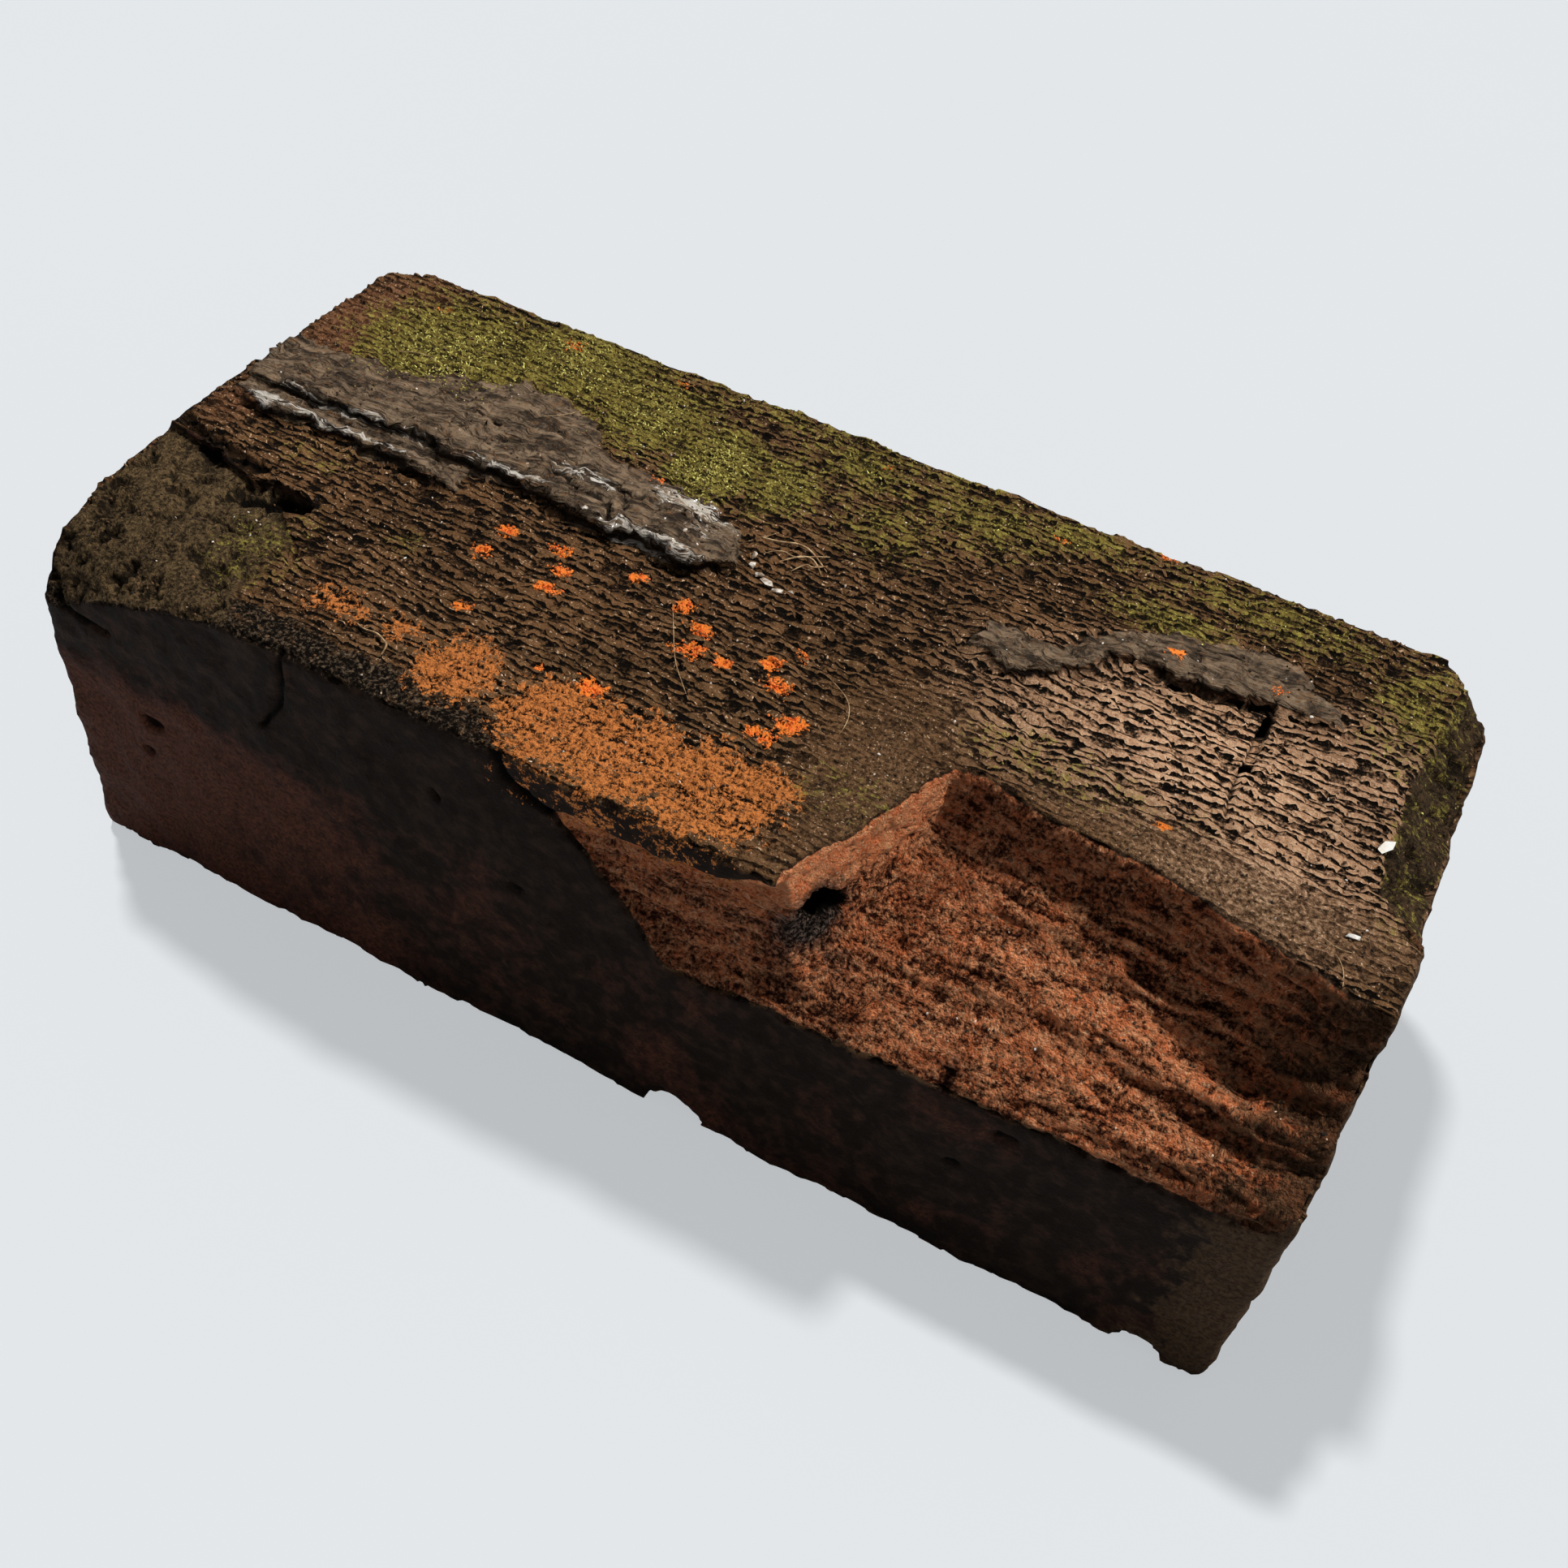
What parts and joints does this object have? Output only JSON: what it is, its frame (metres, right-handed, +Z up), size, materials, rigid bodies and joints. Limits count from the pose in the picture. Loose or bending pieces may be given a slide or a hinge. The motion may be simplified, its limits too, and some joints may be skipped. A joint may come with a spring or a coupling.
{
  "type": "brick",
  "caption": "Old solid side-cut clay brick with one top corner broken away, a worn shoulder, and tongues of dragged clay on its cut face.",
  "frame": {"origin": "centre of the rectangle the brick covers, on the flat cut face it rests on", "axes": "+X along the brick's length towards the broken corner's end, +Y from the front stretcher face to the back one, +Z up"},
  "size_m": [0.232, 0.107, 0.0776],
  "materials": {
    "fired_clay": "matt, weathered, with a dark fired skin and an orange-red broken body"
  },
  "bodies": {
    "root": {"brick": "fired_clay"}
  },
  "joints": []
}
